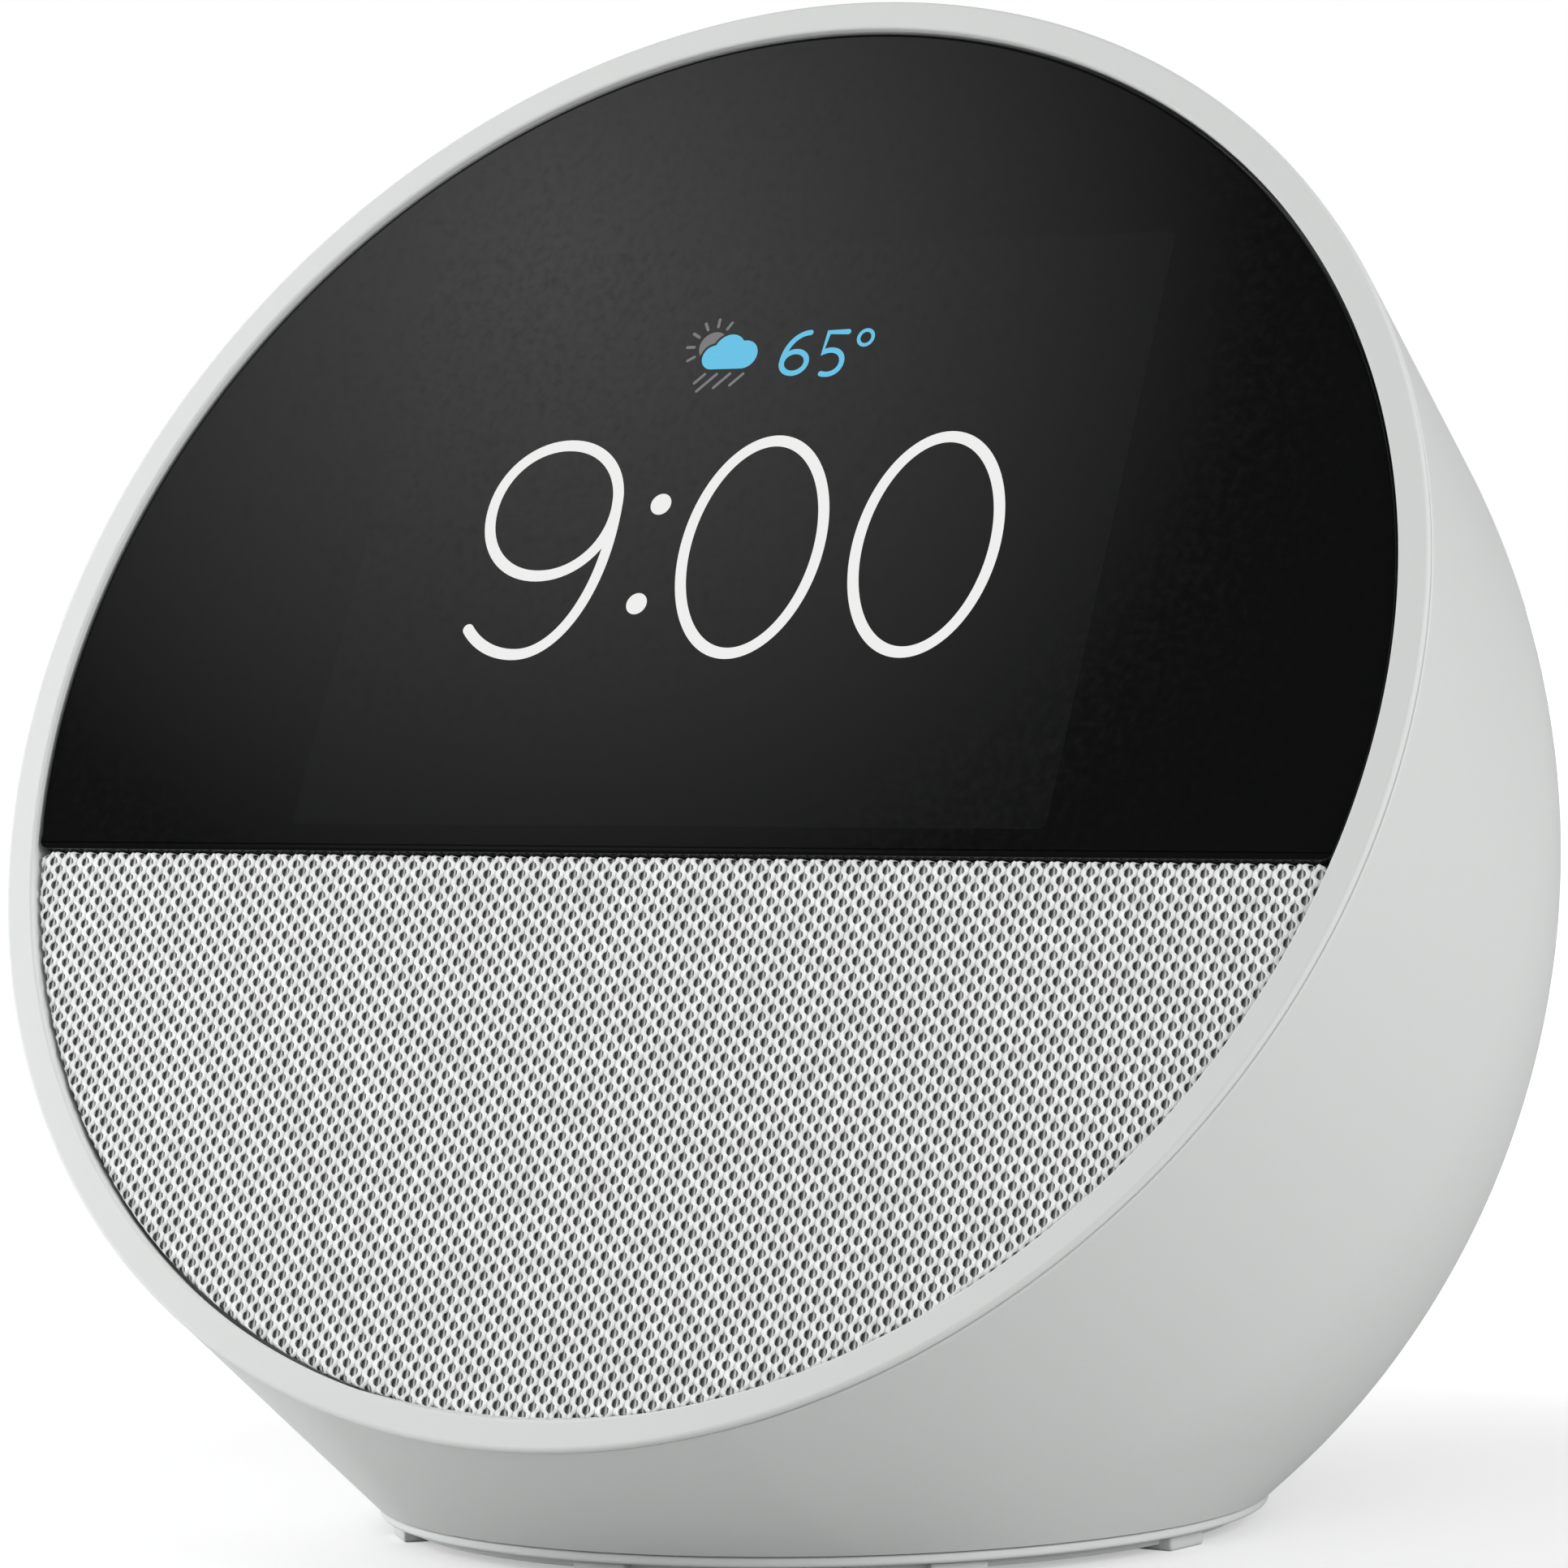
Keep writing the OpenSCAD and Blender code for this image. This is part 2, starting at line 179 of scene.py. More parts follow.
def turned(name, corners, steps=256, arc=5):
    # a solid turned on the Z axis from the profile that the corners give, as radius and height
    outline = rounded(corners, arc)
    deselectAll()
    bpy.ops.mesh.primitive_circle_add(vertices=len(outline), radius=1, fill_type="NOTHING")
    piece = newest(name)
    for vertex, point in zip(piece.data.vertices, outline):
        vertex.co = (point.x * mm, 0, point.y * mm)
    editMode()
    bpy.ops.mesh.select_all(action="SELECT")
    bpy.ops.mesh.spin(steps=steps, angle=2 * math.pi, center=(0, 0, 0), axis=(0, 0, 1))
    cleanUp()
    bpy.ops.mesh.select_all(action="SELECT")
    bpy.ops.mesh.dissolve_degenerate(threshold=1e-7)
    objectMode()
    return piece


# materials

def newGroup(name, inputs, outputs):
    group = bpy.data.node_groups.new(name, "ShaderNodeTree")
    for label, kind, value in inputs:
        socket = group.interface.new_socket(label, in_out="INPUT", socket_type="NodeSocket" + kind)
        if value is not None:
            socket.default_value = value
    for label, kind in outputs:
        group.interface.new_socket(label, in_out="OUTPUT", socket_type="NodeSocket" + kind)
    add = group.nodes.new
    return group, add("NodeGroupInput"), add("NodeGroupOutput")


def wire(tree, *pairs):
    for source, target in pairs:
        tree.links.new(source, target)


def node(tree, kind, **settings):
    made = tree.nodes.new("ShaderNode" + kind)
    for key, value in settings.items():
        if key in made.inputs:
            made.inputs[key].default_value = value
        else:
            setattr(made, key, value)
    return made


def buildMouldedGrain():
    # fine spark texture of a mould, with a slow drift of tone and gloss
    group, given, out = newGroup("mouldedGrain", [
        ("Vector", "Vector", None), ("Colour", "Color", (0.8, 0.8, 0.8, 1)), ("Grain Scale", "Float", 5200),
        ("Drift", "Float", 0.02), ("Roughness", "Float", 0.5)], [
        ("Colour", "Color"), ("Roughness", "Float"), ("Height", "Float")])
    fine = node(group, "TexNoise", Detail=2.0, Roughness=0.6)
    slow = node(group, "TexNoise", Scale=22.0, Detail=3.0, Roughness=0.5)
    speck = node(group, "TexNoise", Scale=1500.0, Detail=2.0)
    shade = node(group, "Math", operation="MULTIPLY_ADD")
    shade.inputs[2].default_value = 1.0
    centred = node(group, "Math", operation="SUBTRACT")
    centred.inputs[1].default_value = 0.5
    tint = node(group, "VectorMath", operation="SCALE")
    gloss = node(group, "Math", operation="MULTIPLY_ADD")
    gloss.inputs[1].default_value = 0.16
    level = node(group, "Math", operation="SUBTRACT")
    level.inputs[1].default_value = 0.08
    wire(group,
         (given.outputs["Vector"], fine.inputs["Vector"]), (given.outputs["Vector"], slow.inputs["Vector"]),
         (given.outputs["Vector"], speck.inputs["Vector"]),
         (given.outputs["Grain Scale"], fine.inputs["Scale"]),
         (slow.outputs[0], centred.inputs[0]), (centred.outputs[0], shade.inputs[0]),
         (given.outputs["Drift"], shade.inputs[1]), (given.outputs["Colour"], tint.inputs[0]),
         (shade.outputs[0], tint.inputs["Scale"]), (tint.outputs[0], out.inputs["Colour"]),
         (speck.outputs[0], gloss.inputs[0]), (given.outputs["Roughness"], level.inputs[0]),
         (level.outputs[0], gloss.inputs[2]), (gloss.outputs[0], out.inputs["Roughness"]),
         (fine.outputs[0], out.inputs["Height"]))
    return group


def buildBrushed():
    # long scratches of rolled or brushed metal
    group, given, out = newGroup("brushedMetal", [
        ("Vector", "Vector", None), ("Colour", "Color", (0.6, 0.6, 0.6, 1)), ("Roughness", "Float", 0.3)], [
        ("Colour", "Color"), ("Roughness", "Float"), ("Height", "Float")])
    stretch = node(group, "Mapping")
    stretch.inputs["Scale"].default_value = (300, 9000, 9000)
    scratch = node(group, "TexNoise", Scale=1.0, Detail=3.0)
    dull = node(group, "Math", operation="MULTIPLY_ADD")
    dull.inputs[1].default_value = 0.2
    shade = node(group, "MapRange")
    shade.inputs["To Min"].default_value = 0.86
    shade.inputs["To Max"].default_value = 1.05
    tint = node(group, "VectorMath", operation="SCALE")
    wire(group,
         (given.outputs["Vector"], stretch.inputs["Vector"]),
         (stretch.outputs[0], scratch.inputs["Vector"]),
         (scratch.outputs[0], dull.inputs[0]), (given.outputs["Roughness"], dull.inputs[2]),
         (dull.outputs[0], out.inputs["Roughness"]), (scratch.outputs[0], shade.inputs["Value"]),
         (given.outputs["Colour"], tint.inputs[0]), (shade.outputs[0], tint.inputs["Scale"]),
         (tint.outputs[0], out.inputs["Colour"]), (scratch.outputs[0], out.inputs["Height"]))
    return group


def buildSpunYarn():
    # twisted fibres along the yarn, with lint and slightly greyer dips
    group, given, out = newGroup("spunYarn", [
        ("Vector", "Vector", None), ("Colour", "Color", (0.8, 0.8, 0.8, 1)),
        ("Fibre Scale", "Float", 9000)], [
        ("Colour", "Color"), ("Roughness", "Float"), ("Height", "Float")])
    twist = node(group, "Mapping")
    twist.inputs["Rotation"].default_value = (0.0, 0.6, 0.9)
    twist.inputs["Scale"].default_value = (1.0, 0.22, 1.0)
    fibre = node(group, "TexNoise", Detail=2.0, Roughness=0.55)
    uneven = node(group, "TexNoise", Scale=700.0, Detail=2.0)
    mixed = node(group, "Math", operation="MULTIPLY_ADD")
    mixed.inputs[1].default_value = 0.35
    shade = node(group, "MapRange")
    shade.inputs["From Min"].default_value = 0.35
    shade.inputs["From Max"].default_value = 0.95
    shade.inputs["To Min"].default_value = 0.84
    shade.inputs["To Max"].default_value = 1.06
    tint = node(group, "VectorMath", operation="SCALE")
    rough = node(group, "MapRange")
    rough.inputs["To Min"].default_value = 0.75
    rough.inputs["To Max"].default_value = 0.95
    wire(group,
         (given.outputs["Vector"], twist.inputs["Vector"]), (twist.outputs[0], fibre.inputs["Vector"]),
         (given.outputs["Fibre Scale"], fibre.inputs["Scale"]),
         (given.outputs["Vector"], uneven.inputs["Vector"]),
         (fibre.outputs[0], mixed.inputs[0]), (uneven.outputs[0], mixed.inputs[2]),
         (mixed.outputs[0], shade.inputs["Value"]), (given.outputs["Colour"], tint.inputs[0]),
         (shade.outputs[0], tint.inputs["Scale"]), (tint.outputs[0], out.inputs["Colour"]),
         (fibre.outputs[0], rough.inputs["Value"]), (rough.outputs[0], out.inputs["Roughness"]),
         (fibre.outputs[0], out.inputs["Height"]))
    return group


groups = {"moulded": buildMouldedGrain(), "brushed": buildBrushed(), "yarn": buildSpunYarn()}


def makeMaterial(name, group, colour, bump=0.0, distance=0.00002, values=None, shader=None):
    material = bpy.data.materials.new(name)
    material.use_nodes = True
    tree = material.node_tree
    tree.nodes.clear()
    out = tree.nodes.new("ShaderNodeOutputMaterial")
    surface = node(tree, "BsdfPrincipled", **(shader or {}))
    where = node(tree, "TexCoord")
    effect = tree.nodes.new("ShaderNodeGroup")
    effect.node_tree = groups[group]
    effect.inputs["Colour"].default_value = (*colour, 1)
    for key, value in (values or {}).items():
        effect.inputs[key].default_value = value
    wire(tree, (where.outputs["Object"], effect.inputs["Vector"]),
         (effect.outputs["Colour"], surface.inputs["Base Color"]),
         (effect.outputs["Roughness"], surface.inputs["Roughness"]),
         (surface.outputs[0], out.inputs["Surface"]))
    if bump:
        relief = node(tree, "Bump", Strength=bump, Distance=distance)
        wire(tree, (effect.outputs["Height"], relief.inputs["Height"]),
             (relief.outputs[0], surface.inputs["Normal"]))
    return material


def plastic(name, colour, roughness, grain=5200, drift=0.02, bump=0.25, **shader):
    values = {"Roughness": roughness, "Grain Scale": grain, "Drift": drift}
    return makeMaterial(name, "moulded", colour, bump, values=values, shader=shader)


def metal(name, colour, roughness, bump=0.08):
    return makeMaterial(name, "brushed", colour, bump, values={"Roughness": roughness},
                        shader={"Metallic": 1.0})


finishes = {
    "shellWhite": plastic("shellWhite", (0.70, 0.715, 0.705), 0.52, 4200, 0.015, 0.30),
    "ringWhite": plastic("ringWhite", (0.685, 0.70, 0.69), 0.46, 4200, 0.012, 0.25),
    "buttonWhite": plastic("buttonWhite", (0.69, 0.705, 0.695), 0.50, 4800, 0.012, 0.28),
    "buttonPrint": plastic("buttonPrint", (0.20, 0.205, 0.205), 0.60, 6000, 0.02, 0.1),
    "bandWhite": plastic("bandWhite", (0.66, 0.68, 0.67), 0.40, 5200, 0.01, 0.15),
    "footRubber": plastic("footRubber", (0.58, 0.60, 0.59), 0.78, 2600, 0.04, 0.4),
    "glassBlack": plastic("glassBlack", (0.0036, 0.0037, 0.0038), 0.06, 900, 0.02, 0.0, IOR=1.5),
    "screenBlack": plastic("screenBlack", (0.0058, 0.0060, 0.0062), 0.08, 900, 0.02, 0.0, IOR=1.5),
    "tapeBlack": plastic("tapeBlack", (0.02, 0.02, 0.02), 0.9, 2400, 0.1, 0.5),
    "panelBlack": plastic("panelBlack", (0.02, 0.02, 0.022), 0.3, 3000, 0.05, 0.05),
    "darkPlastic": plastic("darkPlastic", (0.055, 0.056, 0.06), 0.55, 3600, 0.05, 0.35),
    "frameGrey": plastic("frameGrey", (0.07, 0.071, 0.073), 0.75, 3600, 0.05, 0.3),
    "surroundRubber": plastic("surroundRubber", (0.03, 0.03, 0.03), 0.65, 2400, 0.05, 0.3),
    "conePaper": plastic("conePaper", (0.05, 0.05, 0.056), 0.82, 1800, 0.15, 0.6),
    "boardGreen": plastic("boardGreen", (0.03, 0.17, 0.07), 0.32, 1500, 0.2, 0.15),
    "chipBlack": plastic("chipBlack", (0.018, 0.018, 0.02), 0.48, 3600, 0.05, 0.25),
    "socketIvory": plastic("socketIvory", (0.78, 0.74, 0.62), 0.45, 3000, 0.04, 0.15),
    "flexAmber": plastic("flexAmber", (0.5, 0.26, 0.05), 0.28, 1200, 0.15, 0.05),
    "coatedSteel": metal("coatedSteel", (0.16, 0.16, 0.17), 0.42),
    "brightSteel": metal("brightSteel", (0.62, 0.63, 0.64), 0.24),
    "sinkAluminium": metal("sinkAluminium", (0.72, 0.73, 0.74), 0.3),
    "screwSteel": metal("screwSteel", (0.5, 0.51, 0.52), 0.26),
    "coilCopper": metal("coilCopper", (0.72, 0.36, 0.18), 0.3),
    "goldCan": metal("goldCan", (0.76, 0.58, 0.25), 0.26),
    "knitWhite": makeMaterial("knitWhite", "yarn", (0.96, 0.965, 0.965), 0.5, 0.00003),
    # a grey copy of the white yarn: painted shade for the layer seen through the holes
    "knitPaintedShade": makeMaterial("knitPaintedShade", "yarn", (0.47, 0.475, 0.48), 0.4, 0.00002),
    "knitThread": makeMaterial("knitThread", "yarn", (0.86, 0.865, 0.865), 0.4, 0.00002),
}


def litInk(name, colour):
    # picture light from the screen: an even glow with a faint cell structure
    material = bpy.data.materials.new(name)
    material.use_nodes = True
    tree = material.node_tree
    surface = tree.nodes["Principled BSDF"]
    where = node(tree, "TexCoord")
    cells = node(tree, "TexVoronoi", Scale=6000.0)
    level = node(tree, "MapRange")
    level.inputs["To Min"].default_value = 1.0
    level.inputs["To Max"].default_value = 0.97
    tint = node(tree, "VectorMath", operation="SCALE")
    tint.inputs[0].default_value = colour
    surface.inputs["Base Color"].default_value = (0.01, 0.01, 0.01, 1)
    surface.inputs["Roughness"].default_value = 0.3
    surface.inputs["Emission Strength"].default_value = 1.0
    wire(tree, (where.outputs["Object"], cells.inputs["Vector"]),
         (cells.outputs["Distance"], level.inputs["Value"]), (level.outputs[0], tint.inputs["Scale"]),
         (tint.outputs[0], surface.inputs["Emission Color"]))
    return material


inks = {"clockLight": (0.86, 0.86, 0.855), "skyBlueLight": (0.135, 0.535, 0.78),
        "dimGreyLight": (0.19, 0.19, 0.19)}
for inkName, inkColour in inks.items():
    finishes[inkName] = litInk(inkName, inkColour)
print("materials built:", len(finishes))


def finish(piece, material, body="housing", stands=()):
    piece.data.materials.clear()
    piece.data.materials.append(finishes[material])
    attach(piece, body)
    if stands:
        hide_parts(*stands)
    return piece


# body shell

shellValues = {
    "wall": 2.2,
    "frontGap": 0.75,          # behind the ring's face
    "loops": 95,
    "around": 288,
    "edgeRound": 0.18,
    "buttonHole": 5.5,
    "micHole": 0.6,
    "inletHole": 4.95,
    "inletY": 28.2,
    "inletZ": 20.0,
    "middle": (0, -20, 25),    # point inside from which the skin is cast outwards
}
buttonPitch = 16
buttonSides = {"volume_down": -1, "microphone_off": 0, "volume_up": 1}


def buttonFrame(side):
    x = side * buttonPitch
    height = device["domeUp"] * math.sqrt(1 - (x / device["domeX"]) ** 2)
    slope = math.atan2(x * (device["domeUp"] / device["domeX"]) ** 2, height)
    return (domeFrame @ Matrix.Translation(Vector((x, height, 0)) * mm)
            @ Matrix.Rotation(-slope, 4, "Z") @ Matrix.Rotation(-math.pi / 2, 4, "X"))


def bodyForm():
    # the taut form over the ring, the base and the dome, trimmed by the cone of the base
    deselectAll()
    bpy.ops.mesh.primitive_uv_sphere_add(segments=192, ring_count=96, radius=1)
    form = newest("bodyForm")
    form.scale = Vector((device["domeX"], device["domeUp"], device["domeDeep"])) * mm
    place(form, domeFrame)
    bpy.ops.mesh.primitive_circle_add(vertices=360, radius=device["ringRadius"] * mm, fill_type="NGON")
    disc = newest("ringDisc")
    place(disc, faceFrame @ Matrix.Translation((0, 0, -(shellValues["frontGap"] + 0.01) * mm)))
    bpy.ops.mesh.primitive_circle_add(vertices=360, radius=device["baseRadius"] * mm, fill_type="NGON")
    foot = newest("baseDisc")
    place(foot, baseFrame @ Matrix.Translation((0, 0, device["baseTop"] * mm)))
    takeUp(form)
    disc.select_set(True)
    foot.select_set(True)
    bpy.ops.object.join()
    editMode()
    bpy.ops.mesh.select_all(action="SELECT")
    bpy.ops.mesh.convex_hull(join_triangles=False)
    objectMode()
    deselectAll()
    height = 120 * mm
    low = device["baseRadius"] * mm + 0.00002
    bpy.ops.mesh.primitive_cone_add(vertices=360, radius1=low, radius2=low + device["baseCone"] * height,
                                    depth=height)
    cone = newest("baseCone")
    place(cone, baseFrame @ Matrix.Translation((0, 0, device["baseTop"] * mm + height / 2)))
    return cutWith(form, cone, "INTERSECT")


def castOnto(tree, middle, point):
    direction = (point - middle).normalized()
    hit = tree.ray_cast(middle, direction)[0]
    return hit if hit else point


def buildShell():
    v = shellValues
    form = bodyForm()
    skin = BVHTree.FromPolygons([p.co.copy() for p in form.data.vertices],
                                [list(f.vertices) for f in form.data.polygons])
    bpy.data.objects.remove(form)
    deselectAll()
    bpy.ops.mesh.primitive_circle_add(vertices=v["around"], radius=device["ringRadius"] * mm)
    shell = newest("shell")
    place(shell, faceFrame @ Matrix.Translation((0, 0, -v["frontGap"] * mm)))
    bpy.ops.mesh.primitive_circle_add(vertices=v["around"], radius=device["baseRadius"] * mm)
    foot = newest("foot")
    place(foot, baseFrame @ Matrix.Translation((0, 0, device["baseTop"] * mm)))
    takeUp(shell)
    foot.select_set(True)
    bpy.ops.object.join()
    editMode("EDGE")
    bpy.ops.mesh.select_all(action="SELECT")
    bpy.ops.mesh.bridge_edge_loops(number_cuts=v["loops"], interpolation="LINEAR")
    bpy.ops.mesh.select_all(action="SELECT")
    bpy.ops.mesh.normals_make_consistent(inside=False)
    objectMode()
    middle = Vector(v["middle"]) * mm
    edgeVerts = 2 * v["around"]
    for vertex in shell.data.vertices[edgeVerts:]:
        vertex.co = castOnto(skin, middle, vertex.co)
    editMode()
    bpy.ops.mesh.select_all(action="SELECT")
    bpy.ops.mesh.normals_make_consistent(inside=False)
    objectMode()
    finishWith(shell, "SOLIDIFY", thickness=v["wall"] * mm, offset=-1, use_rim=True, use_even_offset=True)
    toFace = faceFrame.inverted()
    for vertex in shell.data.vertices:  # the wall's inner edges stay behind the ring and above the base
        local = toFace @ vertex.co
        local.z = min(local.z, -v["frontGap"] * mm)
        vertex.co = faceFrame @ local
        vertex.co.z = max(vertex.co.z, device["baseTop"] * mm)
    editMode("EDGE")
    centre = faceFrame @ Vector((0, 0, -v["frontGap"] * mm))
    outward = (faceFrame.to_3x3() @ Vector((0, 0, 1))).normalized()

    outer = (device["ringRadius"] - 0.2) * mm

    def frontEdge(a, b):
        return all(abs((p - centre).dot(outward)) < 1e-6 and (p - centre).length > outer for p in (a, b))

    pickEdges(shell, frontEdge)
    bpy.ops.mesh.bevel(offset=v["edgeRound"] * mm, segments=3, affect="EDGES")
    objectMode()
    return shell, skin


def rod(name, radius, low, high, matrix, sides=64):
    deselectAll()
    bpy.ops.mesh.primitive_cylinder_add(vertices=sides, radius=radius * mm, depth=(high - low) * mm,
                                        location=(0, 0, (low + high) / 2 * mm))
    piece = newest(name)
    takeUp(piece)
    bpy.ops.object.transform_apply(location=True, rotation=True, scale=True)
    return place(piece, matrix)


shell, skin = buildShell()
for side in buttonSides.values():
    cutWith(shell, rod("cutter", shellValues["buttonHole"], -9, 12, buttonFrame(side), 96))
for side in (-0.5, 0.5):
    cutWith(shell, rod("cutter", shellValues["micHole"], -9, 12, buttonFrame(side), 32))
inletFrame = (Matrix.Translation(Vector((0, shellValues["inletY"], shellValues["inletZ"])) * mm)
              @ Matrix.Rotation(-math.pi / 2, 4, "X"))
cutWith(shell, rod("cutter", shellValues["inletHole"], 0, 30, inletFrame, 96))
smooth(shell, 30)
finish(shell, "shellWhite", stands=["rear_shell"])
print("shell:", len(shell.data.polygons), "faces")

# bezel ring

ringValues = {"edgeIn": 0.24, "edgeOut": 0.34, "flat": 0.03, "side": 0.5, "body": 55.3, "ledge": 50.5,
              "depth": 2.15, "back": 3.25}


def buildRing():
    r = ringValues
    window, outer = device["windowRadius"], device["ringRadius"]
    piece = turned("bezelRing", [
        (window, -r["depth"], 0), (window, 0, r["edgeIn"]), (window + r["edgeIn"] + r["flat"], 0, 0),
        (outer - r["edgeOut"] - r["flat"], 0, 0), (outer, 0, r["edgeOut"]), (outer, -r["side"], 0.1),
        (r["body"], -r["side"], 0), (r["body"], -r["back"], 0), (r["ledge"], -r["back"], 0),
        (r["ledge"], -r["depth"], 0)], steps=320)
    return smooth(place(piece, faceFrame))


ring = finish(buildRing(), "ringWhite", stands=["bezel_ring"])
print("ring done")

# cover glass and the lit screen behind it

glassValues = {"radius": 53.92, "gap": 0.1, "thick": 1.5, "corner": 0.7, "edge": 0.14, "rim": 0.2}
screenValues = {"width": 61.6, "height": 46.2, "top": 36.3, "thick": 0.02, "proud": 0.012, "corner": 0.5}


def discSegment(name, radius, thick, top, side, line, corner):
    # a round plate cut straight along a line; side 1 keeps what is above it, -1 what is below
    deselectAll()
    bpy.ops.mesh.primitive_cylinder_add(vertices=320, radius=radius * mm, depth=thick * mm)
    piece = newest(name)
    place(piece, Matrix.Translation((0, 0, (top - thick / 2) * mm)))
    editMode()
    bpy.ops.mesh.select_all(action="SELECT")
    bpy.ops.mesh.bisect(plane_co=(0, line * mm, 0), plane_no=(0, side, 0), use_fill=True, clear_inner=True)
    cleanUp()
    bpy.ops.mesh.select_mode(type="EDGE")
    pickEdges(piece, lambda a, b: abs(a.y - line * mm) < 1e-6 and abs(b.y - line * mm) < 1e-6
              and abs(a.z - b.z) > 0.5 * thick * mm)
    bpy.ops.mesh.bevel(offset=corner * mm, segments=8, affect="EDGES")
    objectMode()
    return piece


def buildGlass():
    g = glassValues
    piece = discSegment("coverGlass", g["radius"], g["thick"], -device["recess"], 1,
                        device["splitHeight"] + g["gap"], g["corner"])
    finishWith(piece, "BEVEL", width=g["edge"] * mm, segments=3, limit_method="ANGLE",
               angle_limit=math.radians(40))
    editMode("FACE")  # a narrow rim keeps the shading of the big flat faces flat
    pickFaces(piece, lambda f: abs(f.normal.z) > 0.9999 and f.calc_area() > 1e-3)
    bpy.ops.mesh.inset(thickness=g["rim"] * mm)
    objectMode()
    return smooth(place(piece, faceFrame))


def buildScreen():
    s = screenValues
    deselectAll()
    bpy.ops.mesh.primitive_cube_add(size=1)
    piece = newest("screenArea")
    piece.scale = (s["width"] * mm, s["height"] * mm, s["thick"] * mm)
    place(piece, Matrix.Translation((0, (s["top"] - s["height"] / 2) * mm,
                                     (s["proud"] - s["thick"] / 2 - device["recess"]) * mm)))
    editMode("EDGE")
    pickEdges(piece, lambda a, b: abs(a.x - b.x) < 1e-7 and abs(a.y - b.y) < 1e-7)
    bpy.ops.mesh.bevel(offset=s["corner"] * mm, segments=6, affect="EDGES")
    objectMode()
    return smooth(place(piece, faceFrame))


glass = finish(buildGlass(), "glassBlack", stands=["cover_glass"])
screen = finish(buildScreen(), "screenBlack")

# what the screen shows: a clock, a cloud and a number of degrees

inkThick = 0.012
inkHeight = screenValues["proud"] - device["recess"] + inkThick


def arcPoints(x, y, rx, ry, start, end, count=24, power=2.0):
    # points of an ellipse, or of a fuller oval where power is over 2
    points = []
    for k in range(count + 1):
        a = math.radians(start + (end - start) * k / count)
        c, s = math.cos(a), math.sin(a)
        points.append((x + rx * math.copysign(abs(c) ** (2 / power), c),
                       y + ry * math.copysign(abs(s) ** (2 / power), s)))
    return points


# how far past its end a stroke reaches, in half widths, and how thick it is there
roundEnd = ((0.98, 0.2), (0.87, 0.5), (0.6, 0.8), (0.3, 0.95))


def stroke(name, runs, width, thick=inkThick):
    # each run is (points, closed): a flat stroke with round ends, on the glass
    curve = bpy.data.curves.new(name, "CURVE")
    curve.dimensions = "3D"
    curve.bevel_depth = width / 2 * mm
    curve.bevel_resolution = 2
    curve.use_fill_caps = True
    for points, closed in runs:
        line = [(Vector(p), 1.0) for p in points]
        if not closed:
            first, last = line[0][0], line[-1][0]
            out = (first - line[1][0]).normalized() * width / 2
            on = (last - line[-2][0]).normalized() * width / 2
            line = ([(first + out * k, size) for k, size in roundEnd] + line
                    + [(last + on * k, size) for k, size in reversed(roundEnd)])
        spline = curve.splines.new("POLY")
        spline.points.add(len(line) - 1)
        for point, (at, size) in zip(spline.points, line):
            point.co = (at.x * mm, at.y * mm, 0, 1)
            point.radius = size
        spline.use_cyclic_u = closed
    piece = bpy.data.objects.new(name, curve)
    bpy.context.scene.collection.objects.link(piece)
    takeUp(piece)
    bpy.ops.object.convert(target="MESH")
    piece = newest(name)
    editMode()
    cleanUp(1e-7)
    objectMode()
    piece.scale = (1, 1, thick / width)
    return smooth(place(piece, faceFrame @ Matrix.Translation((0, 0, inkHeight * mm))), 60)


clockValues = {"stroke": 0.88, "middle": 11.98, "halfHeight": 8.43, "zeroWide": 5.52,
               "zeros": (2.25, 16.38), "colonX": -6.2, "colonY": (15.5, 7.55), "dot": 0.84}


def buildClock():
    c = clockValues
    pieces = []
    for k, x in enumerate(c["zeros"]):
        oval = arcPoints(x, c["middle"], c["zeroWide"], c["halfHeight"], 0, 360, 96)[:-1]
        pieces.append(stroke(f"clockZero{k + 1}", [(oval, True)], c["stroke"]))
    bowl = arcPoints(-15.15, 15.15, 5.28, 5.28, 0, 360, 72, 2.06)[:-1]
    tail = (arcPoints(-15.55, 13.6, 5.75, 10.02, 15, -90, 40, 2.1)
            + arcPoints(-15.55, 9.5, 5.8, 5.92, -90, -139, 14)[1:])
    pieces.append(stroke("clockNine", [(bowl, True)], c["stroke"]))
    pieces.append(stroke("clockNineTail", [(tail, False)], c["stroke"]))
    for k, y in enumerate(c["colonY"]):
        dot = turned(f"clockDot{k + 1}", [(0, -0.01, 0), (c["dot"], -0.01, 0), (c["dot"], 0.006, 0.004),
                                          (0, 0.006, 0)], steps=40, arc=2)
        spot = Matrix.Translation((c["colonX"] * mm, y * mm, inkHeight * mm))
        pieces.append(smooth(place(dot, faceFrame @ spot)))
    return pieces


weatherValues = {"number": 0.43, "degree": 0.29, "line": 0.24, "sun": (-5.03, 28.25), "sunRadius": 1.18,
                 "rayAngles": range(60, 211, 30), "rayFrom": 1.62, "rayTo": 2.2,
                 "rain": ((-5.2, 26.0, 0.7), (-4.2, 25.98, 1.35), (-3.1, 25.98, 1.1), (-1.98, 25.95, 0.9)),
                 "cloud": (-3.55, 27.4), "cloudFloor": 26.39, "floorHalf": 1.3,
                 "lobes": ((-4.78, 27.36, 0.98), (-3.62, 27.92, 1.28), (-2.33, 27.53, 1.14))}


